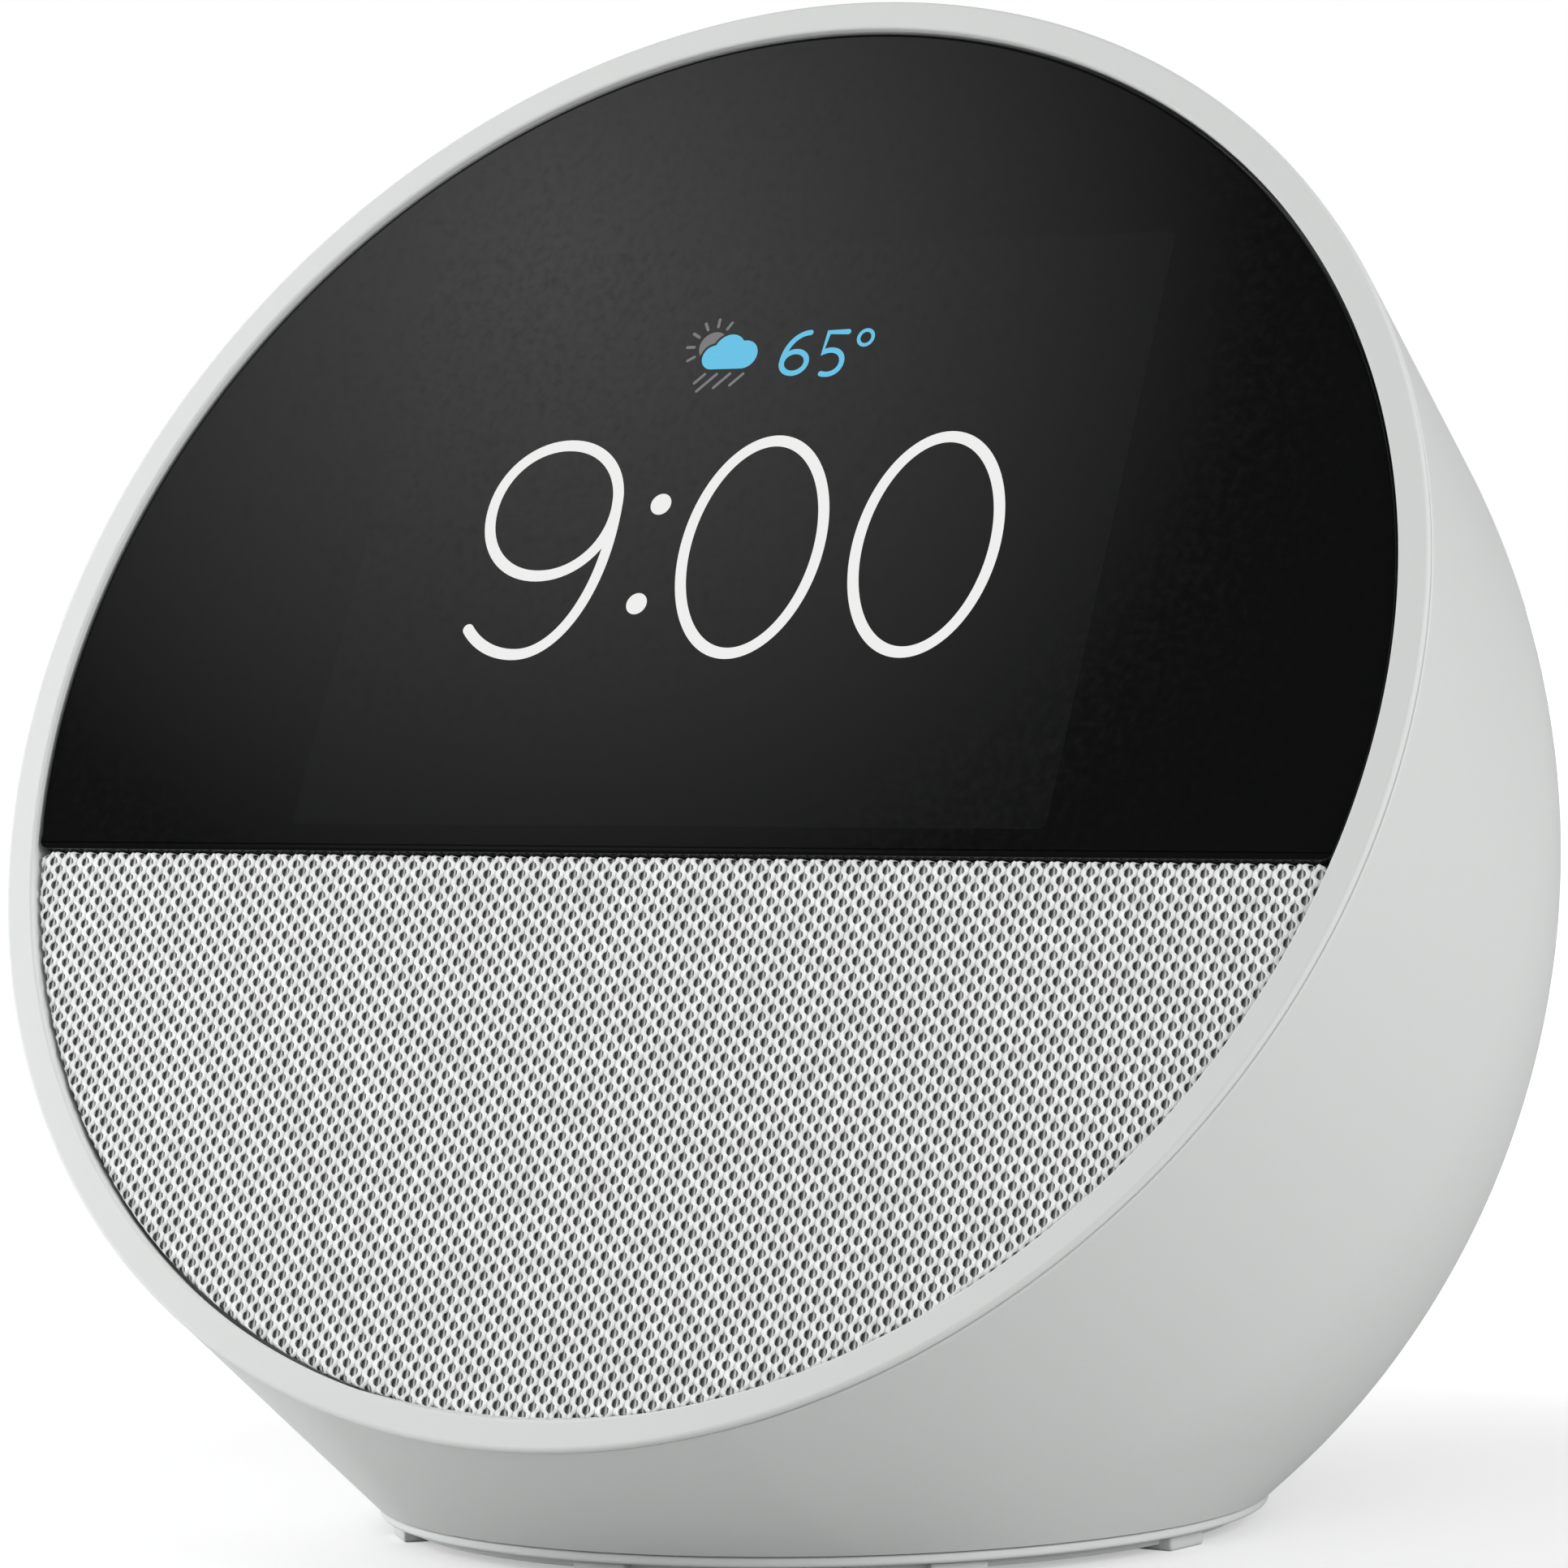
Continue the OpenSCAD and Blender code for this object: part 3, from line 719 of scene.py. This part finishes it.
def buildWeather():
    w = weatherValues
    sixBack = arcPoints(2.95, 26.85, 1.92, 2.3, 92, 178, 20)
    sixBowl = arcPoints(2.05, 26.75, 1.02, 0.88, 0, 360, 40)[:-1]
    five = [(6.0, 29.12), (4.42, 29.12), (4.25, 27.42)]
    five += arcPoints(4.92, 26.68, 1.08, 0.98, 118, -112, 30, 2.1)
    numbers = stroke("degreesNumber", [(sixBack, False), (sixBowl, True), (five, False)], w["number"])
    ring = stroke("degreesRing", [(arcPoints(7.55, 28.6, 0.58, 0.6, 0, 360, 40)[:-1], True)], w["degree"])
    x, y = w["sun"]
    rays = []
    for angle in w["rayAngles"]:
        c, s = math.cos(math.radians(angle)), math.sin(math.radians(angle))
        rays.append(([(x + r * c, y + r * s) for r in (w["rayFrom"], w["rayTo"])], False))
    for x, y, drop in w["rain"]:
        rays.append(([(x, y), (x - drop, y - drop)], False))
    return [numbers, ring], stroke("weatherLines", rays, w["line"])


def filledShape(name, outline, thick=inkThick):
    deselectAll()
    bpy.ops.mesh.primitive_circle_add(vertices=len(outline), radius=1, fill_type="NGON")
    piece = newest(name)
    for vertex, (x, y) in zip(piece.data.vertices, outline):
        vertex.co = (x * mm, y * mm, -thick / 2 * mm)
    editMode("FACE")
    bpy.ops.mesh.select_all(action="SELECT")
    bpy.ops.mesh.extrude_region_move(TRANSFORM_OT_translate={"value": (0, 0, thick * mm)})
    cleanUp()
    objectMode()
    return place(piece, faceFrame @ Matrix.Translation((0, 0, inkHeight * mm)))


def cloudOutline(grow=0.0, steps=96):
    # farthest point of the lobes in each direction from the cloud's middle
    w = weatherValues
    middle = Vector(w["cloud"])
    points = []
    for k in range(steps):
        a = 2 * math.pi * k / steps
        way = Vector((math.cos(a), math.sin(a)))
        best = 0
        for x, y, radius in w["lobes"]:
            to = Vector((x, y)) - middle
            along = to.dot(way)
            inside = (radius + grow) ** 2 - (to.length_squared - along ** 2)
            if inside > 0:
                best = max(best, along + math.sqrt(inside))
        if way.y < -1e-6:  # flat underneath
            floor = (w["cloudFloor"] - grow - middle.y) / way.y
            best = floor if abs(way.x * floor) < w["floorHalf"] else min(best, floor)
        points.append(tuple(middle + way * best))
    return points


def sunOutline(grow=0.2):
    # the part of the sun's disc that the cloud leaves free, on its upper left
    w = weatherValues
    centre, middle = Vector(w["sun"]), Vector(w["cloud"])
    rim, inner = [], []
    cloud = cloudOutline(grow, 240)
    for k in range(121):
        a = math.radians(40 + 190 * k / 120)
        p = centre + Vector((math.cos(a), math.sin(a))) * w["sunRadius"]
        way = p - middle
        edge = max(cloud, key=lambda q: (Vector(q) - middle).normalized().dot(way.normalized()))
        if way.length > (Vector(edge) - middle).length + 0.03:
            rim.append(tuple(p))
            inner.append(edge)
    return rim + inner[::-1]


clockPieces = buildClock()
bluePieces, greyLines = buildWeather()
for piece in clockPieces:
    finish(piece, "clockLight")
for piece in bluePieces + [filledShape("weatherCloud", cloudOutline())]:
    finish(piece, "skyBlueLight")
for piece in [greyLines, filledShape("weatherSun", sunOutline())]:
    finish(piece, "dimGreyLight")
print("screen picture done")

# knit grille

knitValues = {
    "pitch": 1.434,            # one hole to the next along a row
    "row": 0.617,              # one row to the next
    "swing": 0.205,            # sideways swing of a yarn
    "yarn": 0.222,             # radius of a yarn
    "lift": 0.045,             # how far crossings stand over each other
    "level": -0.74,            # middle of the yarns below the ring's face
    "radius": 53.92,
    "gap": 0.05,               # below the split line
    "corner": 0.9,
    "wrap": 0.25,              # radius of the turned edge
    "under": 0.35,             # how far the turned edge goes on down
    "steps": 3,                # rings per row
    "bottom": -55.5,
}


def knitDistance(x, y):
    # distance inside the grille's outline, and the direction in which it grows
    k = knitValues
    top = device["splitHeight"] - k["gap"]
    length = np.hypot(x, y)
    fromCurve = k["radius"] - length
    straight = top - y
    gx, gy = -x / length, -y / length
    corner = k["corner"]
    both = (fromCurve < corner) & (straight < corner)
    deep = np.hypot(corner - np.minimum(fromCurve, corner), corner - np.minimum(straight, corner))
    inside = np.where(both, corner - deep, np.minimum(fromCurve, straight))
    byCurve = np.where(both, (corner - fromCurve) / np.maximum(deep, 1e-9), (fromCurve < straight) * 1.0)
    byTop = np.where(both, (corner - straight) / np.maximum(deep, 1e-9), (fromCurve >= straight) * 1.0)
    nx, ny = gx * byCurve, gy * byCurve - byTop
    size = np.maximum(np.hypot(nx, ny), 1e-9)
    return inside, nx / size, ny / size


def readPoints(piece):
    points = np.zeros(len(piece.data.vertices) * 3)
    piece.data.vertices.foreach_get("co", points)
    return points.reshape(-1, 3) / mm


def writePoints(piece, points):
    piece.data.vertices.foreach_set("co", (points * mm).ravel())
    piece.data.update()


def knitColumns(name, radius, steps):
    # straight yarns side by side, each with some rings in every row, ready to be bent
    k = knitValues
    rows = int((device["splitHeight"] + 2 - k["bottom"]) / k["row"])
    columns = int(2 * k["radius"] / k["pitch"]) * 2 + 5
    pitch = k["pitch"] / 2
    deselectAll()
    bpy.ops.mesh.primitive_circle_add(vertices=4, radius=radius * mm, fill_type="NOTHING")
    piece = newest(name)
    place(piece, Matrix.Translation((0, k["bottom"] * mm, 0)) @ Matrix.Rotation(-math.pi / 2, 4, "X"))
    finishWith(piece, "SCREW", axis="Y", angle=0, screw_offset=rows * k["row"] * mm, steps=rows * steps,
               render_steps=rows * steps, use_normal_calculate=True)
    finishWith(piece, "ARRAY", count=columns, use_relative_offset=False, use_constant_offset=True,
               constant_offset_displace=(pitch * mm, 0, 0))
    return place(piece, Matrix.Translation((-(columns - 1) / 2 * pitch * mm, 0, 0)))


def knitPhase(points):
    # the yarn that each point belongs to, and how far along its swing the point is
    column = np.round(points[:, 0] / (knitValues["pitch"] / 2))
    return column, math.pi * ((points[:, 1] - knitValues["bottom"]) / knitValues["row"] + column)


def trimAndWrap(piece, level):
    # cuts the yarns off past the outline, turns their ends down over the edge and closes them
    k = knitValues
    points = readPoints(piece)
    inside = knitDistance(points[:, 0], points[:, 1])[0]
    reach = k["wrap"] * (math.pi / 2 - 1) + k["under"]
    editMode()
    mesh = bmesh.from_edit_mesh(piece.data)
    mesh.verts.ensure_lookup_table()
    for vertex, depth in zip(mesh.verts, inside):
        vertex.select_set(bool(depth < -reach))
    mesh.select_flush_mode()
    bmesh.update_edit_mesh(piece.data)
    bpy.ops.mesh.delete(type="VERT")
    bpy.ops.mesh.select_all(action="SELECT")
    bpy.ops.mesh.fill_holes(sides=0)
    bpy.ops.mesh.select_all(action="SELECT")
    bpy.ops.mesh.normals_make_consistent(inside=False)
    objectMode()
    points = readPoints(piece)
    inside, nx, ny = knitDistance(points[:, 0], points[:, 1])
    turn = np.clip((k["wrap"] - inside) / k["wrap"], 0, None)
    angle = np.minimum(turn, math.pi / 2)
    moved = k["wrap"] - k["wrap"] * np.sin(angle)
    shift = np.where(turn > 0, moved - inside, 0)
    further = np.maximum(turn - math.pi / 2, 0)
    drop = np.where(turn > 0, k["wrap"] * (1 - np.cos(angle)) + further * k["wrap"], 0)
    points[:, 0] += nx * shift
    points[:, 1] += ny * shift
    points[:, 2] += level - drop
    writePoints(piece, points)
    return smooth(place(piece, faceFrame), 180)


def buildKnit():
    k = knitValues
    piece = knitColumns("grilleKnit", k["yarn"], k["steps"])
    points = readPoints(piece)
    column, phase = knitPhase(points)
    wave = np.cos(phase)
    points[:, 0] += k["swing"] * (1.12 * wave - 0.12 * np.cos(3 * phase))
    points[:, 2] += k["lift"] * wave * np.where(column % 2 == 0, 1, -1)
    writePoints(piece, points)
    return trimAndWrap(piece, k["level"])


threadValues = {"radius": 0.085, "flat": 1.0, "level": -0.88, "lean": 0.05, "aside": 0.40}
# the lining is a grey sheet of painted shade under the holes of the knit
paintedShadeValues = {"radius": 0.33, "flat": 0.1, "level": -1.01, "lean": 0.0, "aside": 0.36}


def buildThreads(name, t):
    # thin yarns that run down through the holes; the lining's are wide and flat, a grey layer of painted
    # shade seen through the holes
    piece = knitColumns(name, t["radius"], 2)
    points = readPoints(piece)
    points[:, 0] += t["aside"] + t["lean"] * np.sin(knitPhase(points)[1])
    points[:, 2] *= t["flat"]
    writePoints(piece, points)
    return trimAndWrap(piece, t["level"])


knit = finish(buildKnit(), "knitWhite", stands=["grille_fabric"])
threads = finish(buildThreads("grilleThreads", threadValues), "knitThread")
# the lining: painted shade seen through the holes
paintedShadeSheet = finish(buildThreads("grillePaintedShade", paintedShadeValues), "knitPaintedShade")
print("knit:", len(knit.data.polygons), "faces, threads:", len(threads.data.polygons))

# base band and feet

bandValues = {"radius": 32.35, "under": 31.3, "low": 1.0, "shoulder": 1.18, "high": 1.87}
b = bandValues
band = turned("baseBand", [
    (0, b["low"], 0), (b["under"], b["low"], 0.1), (b["radius"], b["shoulder"], 0.3),
    (b["radius"], b["high"], 0.18), (0, b["high"], 0)], steps=256)
finish(smooth(place(band, baseFrame)), "bandWhite", stands=["base_plate"])

footValues = {"inner": 27.4, "outer": 30.6, "low": 0.45, "high": 0.97,
              "padIn": 28.0, "padOut": 31.5, "padWide": 4.2, "padHigh": 1.04,
              "padAngles": (0, 47, 84, 131, 180, 229, 276, 313)}


def buildFeet():
    f = footValues
    ringPiece = turned("footRing", [
        (f["inner"], f["low"], 0.1), (f["outer"], f["low"], 0.1), (f["outer"], f["high"], 0.05),
        (f["inner"], f["high"], 0.05)], steps=192, arc=2)
    for angle in f["padAngles"]:
        deselectAll()
        bpy.ops.mesh.primitive_cube_add(size=1)
        pad = newest("footPad")
        pad.scale = Vector((f["padOut"] - f["padIn"], f["padWide"], f["padHigh"])) * mm
        place(pad, Matrix.Translation(((f["padIn"] + f["padOut"]) / 2 * mm, 0, f["padHigh"] / 2 * mm)))
        finishWith(pad, "BEVEL", width=0.24 * mm, segments=3, limit_method="ANGLE")
        place(pad, Matrix.Rotation(math.radians(angle - 90), 4, "Z"))
        cutWith(ringPiece, pad, "UNION")
    return smooth(place(ringPiece, baseFrame))


finish(buildFeet(), "footRubber", stands=["foot_ring"])
print("base done")

# buttons on top of the back

buttonValues = {"radius": 5.2, "proud": 0.35, "deep": 3.1, "edge": 0.35, "rings": 6, "ringWidth": 0.75,
                "skirt": 1.0, "flange": 6.2, "flangeThick": 1.0, "stem": 2.0, "stemFrom": -7.1,
                "stemTo": -2.6, "mark": 0.5, "markThick": 0.03, "markProud": 0.012}
buttonNodes = {"volume_down": "button_volume_down", "microphone_off": "button_microphone",
               "volume_up": "button_volume_up"}


def ontoSkin(piece, matrix, proud):
    # lifts the points of the top so that they follow the body's skin
    down = (matrix.to_3x3() @ Vector((0, 0, -1))).normalized()
    for vertex in piece.data.vertices:
        local = vertex.co.copy()
        if local.z > -1 * mm:
            hit = skin.ray_cast(matrix @ Vector((local.x, local.y, 10 * mm)), down)[0]
            if hit:
                vertex.co.z = (matrix.inverted() @ hit).z + proud * mm + local.z


def buildCap(name, matrix):
    b = buttonValues
    deselectAll()
    bpy.ops.mesh.primitive_cylinder_add(vertices=96, radius=b["radius"] * mm, depth=b["deep"] * mm)
    cap = newest(name)
    place(cap, Matrix.Translation((0, 0, -b["deep"] / 2 * mm)))
    editMode("EDGE")
    pickEdges(cap, lambda p, q: p.z > -1e-6 and q.z > -1e-6)
    bpy.ops.mesh.bevel(offset=b["edge"] * mm, segments=4, affect="EDGES")
    bpy.ops.mesh.select_mode(type="FACE")
    pickFaces(cap, lambda f: f.normal.z > 0.999 and f.calc_area() > 1e-5)
    for step in range(b["rings"]):
        bpy.ops.mesh.inset(thickness=b["ringWidth"] * mm)
    pickFaces(cap, lambda f: f.normal.z < -0.999)
    bpy.ops.mesh.inset(thickness=-b["skirt"] * mm)
    objectMode()
    ontoSkin(cap, matrix, b["proud"])
    stalk = rod("stalk", b["stem"], b["stemFrom"], b["stemTo"], Matrix.Identity(4), 48)
    flange = rod("flange", b["flange"], -b["deep"] - b["flangeThick"], -b["deep"], Matrix.Identity(4), 96)
    cutWith(cap, flange, "UNION")
    cutWith(cap, stalk, "UNION")
    return smooth(place(cap, matrix), 35)


def buildMark(name, runs, matrix):
    b = buttonValues
    mark = stroke(name, runs, b["mark"], b["markThick"])
    place(mark, (faceFrame @ Matrix.Translation((0, 0, inkHeight * mm))).inverted())
    ontoSkin(mark, matrix, b["proud"] + b["markProud"])
    return place(mark, matrix)



def straight(x1, y1, x2, y2, steps=10):  # a run with points enough to follow the curved cap
    return [(x1 + (x2 - x1) * k / steps, y1 + (y2 - y1) * k / steps) for k in range(steps + 1)], False


bar = straight(-1.7, 0, 1.7, 0)
marks = {
    "volume_down": [bar],
    "volume_up": [bar, straight(0, 0.3, 0, 1.7), straight(0, -1.7, 0, -0.3)],
    "microphone_off": [(arcPoints(0, 0, 1.9, 1.9, 0, 360, 48)[:-1], True), straight(-1.2, 1.2, 1.2, -1.2)],
}
for bodyName, side in buttonSides.items():
    capFrame = buttonFrame(side)
    cap = buildCap("cap_" + bodyName, capFrame)
    finish(cap, "buttonWhite", body=bodyName, stands=[buttonNodes[bodyName]])
    finish(buildMark("mark_" + bodyName, marks[bodyName], capFrame), "buttonPrint", body=bodyName)
print("buttons done")

# better finishes for the pieces that keep their CAD shape

nodeFinishes = {
    "tapeBlack": ["glass_tape", "speaker_gasket"],
    "panelBlack": ["display_panel"],
    "brightSteel": ["backlight", "processor_shield", "inlet_pin", "button_switches"],
    "coatedSteel": ["display_bracket", "speaker_basket", "inlet_bracket", "speaker_magnet",
                    "ballast_weight"],
    "screwSteel": ["bracket_screws", "shell_screws", "speaker_screws", "board_screws", "base_screws"],
    "frameGrey": ["grille_frame"],
    "surroundRubber": ["speaker_surround"],
    "conePaper": ["speaker_cone", "dust_cap"],
    "coilCopper": ["voice_coil"],
    "darkPlastic": ["speaker_enclosure", "button_carrier", "power_inlet"],
    "boardGreen": ["main_board"],
    "sinkAluminium": ["heat_spreader"],
    "chipBlack": ["memory_chips"],
    "socketIvory": ["board_connectors"],
    "flexAmber": ["display_cable", "button_flex", "wifi_antennas"],
    "goldCan": ["microphones"],
}
for finishName, names in nodeFinishes.items():
    for name in names:
        piece = nodes[name]
        for slotted in piece.material_slots:
            slotted.material = finishes[finishName]
        if not piece.material_slots:
            piece.data.materials.append(finishes[finishName])
print("inner pieces finished")

# floor, light and camera

# glowNear to glowFar is painted light on the floor, dimmest close to the object: a painted shade around the
# base
floorValues = {"size": 8, "seen": 0.62, "bounce": 0.56,
               "glowNear": 0.40, "glowFar": 1.0, "near": 0.06, "far": 0.16}
lights = {
    "nearLeft": {"at": (-0.30, -0.12, 0.10), "size": (0.2, 0.2), "watts": 0.92},
    "right": {"at": (1.1, -0.25, 0.5), "size": (0.8, 0.8), "watts": 8.7},
}
skyValues = {"even": 0.58, "dark": 0.035, "backdrop": 1.0,
             "glowAt": (-0.53, -0.461, 0.716), "glow": 1.22, "glowWidth": 0.099}
cameraValues = {"at": (0.25624, -0.45280, 0.07302), "azimuth": 30.172, "elevation": 2.166, "roll": -1.058,
                "fieldOfView": 12.664}


def buildFloor():
    # the camera sees a paler floor plus a painted glow that is weaker near the object; other rays see only
    # the bounce colour
    f = floorValues
    deselectAll()
    bpy.ops.mesh.primitive_plane_add(size=f["size"])
    floor = newest("floor")
    material = bpy.data.materials.new("paleFloor")
    material.use_nodes = True
    tree = material.node_tree
    tree.nodes.clear()
    out = tree.nodes.new("ShaderNodeOutputMaterial")
    seen = node(tree, "BsdfDiffuse", Color=(f["seen"],) * 3 + (1,))
    bounce = node(tree, "BsdfDiffuse", Color=(f["bounce"],) * 3 + (1,))
    # painted light: a glow for the camera only, growing with distance from the object
    glow = node(tree, "Emission", Color=(1, 1, 1, 1))
    where = node(tree, "TexCoord")
    away = node(tree, "VectorMath", operation="LENGTH")
    grow = node(tree, "MapRange", interpolation_type="SMOOTHSTEP")
    limits = {"From Min": "near", "From Max": "far", "To Min": "glowNear", "To Max": "glowFar"}
    for label, key in limits.items():
        grow.inputs[label].default_value = f[key]
    both = tree.nodes.new("ShaderNodeAddShader")
    ray = tree.nodes.new("ShaderNodeLightPath")
    mix = tree.nodes.new("ShaderNodeMixShader")
    wire(tree, (where.outputs["Object"], away.inputs[0]), (away.outputs["Value"], grow.inputs["Value"]),
         (grow.outputs[0], glow.inputs["Strength"]),
         (seen.outputs[0], both.inputs[0]), (glow.outputs[0], both.inputs[1]),
         (ray.outputs["Is Camera Ray"], mix.inputs[0]),
         (bounce.outputs[0], mix.inputs[1]), (both.outputs[0], mix.inputs[2]),
         (mix.outputs[0], out.inputs[0]))
    floor.data.materials.append(material)


def buildLights():
    for name, spec in lights.items():
        data = bpy.data.lights.new(name, "AREA")
        data.shape = "RECTANGLE"
        data.size, data.size_y = spec["size"]
        data.energy = spec["watts"]
        lamp = bpy.data.objects.new(name, data)
        lamp.location = spec["at"]
        aim = Vector((0, 0, 0.055)) - Vector(spec["at"])
        lamp.rotation_euler = aim.to_track_quat("-Z", "Y").to_euler()
        lamp.visible_glossy = False
        bpy.context.scene.collection.objects.link(lamp)


def buildSky():
    # an even pale room with one wide soft glow, up and to the left in front of the face
    s = skyValues
    world = bpy.data.worlds.new("studio")
    bpy.context.scene.world = world
    world.use_nodes = True
    tree = world.node_tree
    tree.nodes.clear()
    out = tree.nodes.new("ShaderNodeOutputWorld")
    where = node(tree, "TexCoord")
    unit = node(tree, "VectorMath", operation="NORMALIZE")
    away = node(tree, "VectorMath", operation="DISTANCE")
    away.inputs[1].default_value = Vector(s["glowAt"]).normalized()
    fall = node(tree, "MapRange")
    fall.inputs["From Min"].default_value = 0.0
    fall.inputs["From Max"].default_value = s["glowWidth"]
    fall.inputs["To Min"].default_value = s["glow"]
    fall.inputs["To Max"].default_value = 0.0
    even = node(tree, "Background", Color=(1, 1, 1, 1), Strength=s["even"])
    glow = node(tree, "Background", Color=(1, 1, 1, 1))
    dark = node(tree, "Background", Color=(1, 1, 1, 1), Strength=s["dark"])
    backdrop = node(tree, "Background", Color=(1, 1, 1, 1), Strength=s["backdrop"])
    sheen = tree.nodes.new("ShaderNodeAddShader")
    ray = tree.nodes.new("ShaderNodeLightPath")
    gloss = tree.nodes.new("ShaderNodeMixShader")
    seen = tree.nodes.new("ShaderNodeMixShader")
    wire(tree, (where.outputs["Generated"], unit.inputs[0]), (unit.outputs[0], away.inputs[0]),
         (away.outputs["Value"], fall.inputs["Value"]), (fall.outputs[0], glow.inputs["Strength"]),
         (dark.outputs[0], sheen.inputs[0]), (glow.outputs[0], sheen.inputs[1]),
         (ray.outputs["Is Glossy Ray"], gloss.inputs[0]), (even.outputs[0], gloss.inputs[1]),
         (sheen.outputs[0], gloss.inputs[2]), (ray.outputs["Is Camera Ray"], seen.inputs[0]),
         (gloss.outputs[0], seen.inputs[1]), (backdrop.outputs[0], seen.inputs[2]),
         (seen.outputs[0], out.inputs[0]))


def buildCamera():
    c = cameraValues
    azimuth, elevation, roll = (math.radians(c[k]) for k in ("azimuth", "elevation", "roll"))
    back = Vector((math.sin(azimuth) * math.cos(elevation), -math.cos(azimuth) * math.cos(elevation),
                   math.sin(elevation)))
    right = Vector((math.cos(azimuth), math.sin(azimuth), 0))
    up = back.cross(right)
    x = right * math.cos(roll) + up * math.sin(roll)
    y = up * math.cos(roll) - right * math.sin(roll)
    data = bpy.data.cameras.new("camera")
    data.sensor_width = 36
    data.angle = math.radians(c["fieldOfView"])
    camera = bpy.data.objects.new("camera", data)
    camera.matrix_world = Matrix.Translation(c["at"]) @ Matrix((x, y, back)).transposed().to_4x4()
    bpy.context.scene.collection.objects.link(camera)
    bpy.context.scene.camera = camera


buildFloor()
buildLights()
buildSky()
buildCamera()
bpy.context.scene.view_settings.view_transform = "Standard"
print("stage set")
